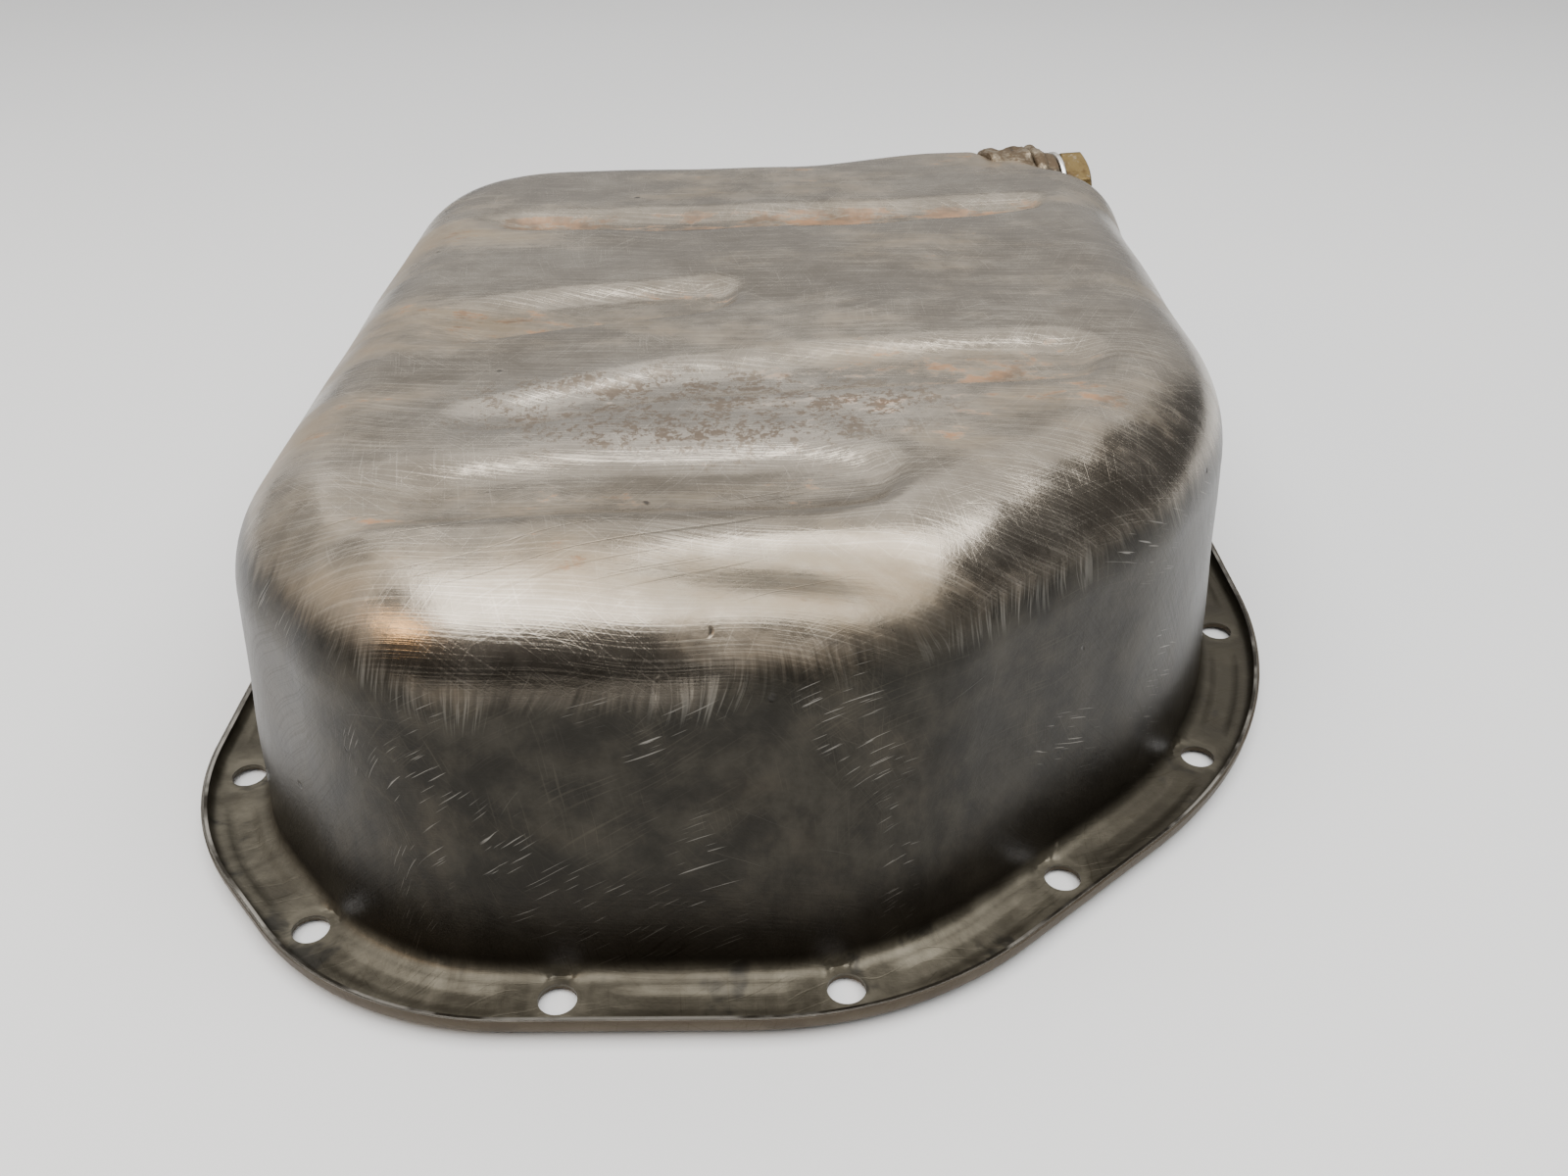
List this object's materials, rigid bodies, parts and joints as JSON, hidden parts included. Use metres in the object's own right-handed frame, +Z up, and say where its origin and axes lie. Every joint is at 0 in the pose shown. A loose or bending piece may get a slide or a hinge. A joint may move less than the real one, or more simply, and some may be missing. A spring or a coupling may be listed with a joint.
{
  "type": "engine oil pan",
  "caption": "Pressed steel engine oil pan with a flanged rim of bolt holes, ribbed bottom, brazed drain bung in a corner recess, sealing washer and a hexagon drain plug that unscrews.",
  "frame": {"origin": "centre of the pan's box, at the bottom: the gasket face is at Z = 0", "axes": "the pan lies flange down: +Z up through the sump bottom, -Y towards its tapered front edge, +X towards its right side with the drain plug at the rear"},
  "size_m": [0.2366, 0.286, 0.0827],
  "materials": {
    "pressed_steel": "bare pressed steel, scoured bright on the shoulders, dark on the walls, rust stains in the ribs",
    "brazed_steel": "steel bung brazed in, brown and lumpy",
    "washer_aluminium": "soft aluminium sealing ring, marked by tightening",
    "plated_steel": "yellow plated steel, worn and stained"
  },
  "bodies": {
    "pan": {"pan_shell": "pressed_steel", "drain_bung": "brazed_steel"},
    "washer": {"sealing_washer": "washer_aluminium"},
    "plug": {"drain_plug": "plated_steel"}
  },
  "joints": [
    {"name": "plug_withdraw", "type": "slide", "parent": "pan", "child": "washer", "axis": [0.9781, 0.2079, 0], "range_m": [0, 0.0135]},
    {"name": "plug_turn", "type": "hinge", "parent": "washer", "child": "plug", "pos_m": [0.085, 0.1155, 0.0695], "axis": [0.9781, 0.2079, 0], "range_deg": [0, 3241]}
  ],
  "couplings": [
    {"joint": "plug_turn", "follows": "plug_withdraw", "rad_per_m": 4188.8}
  ]
}
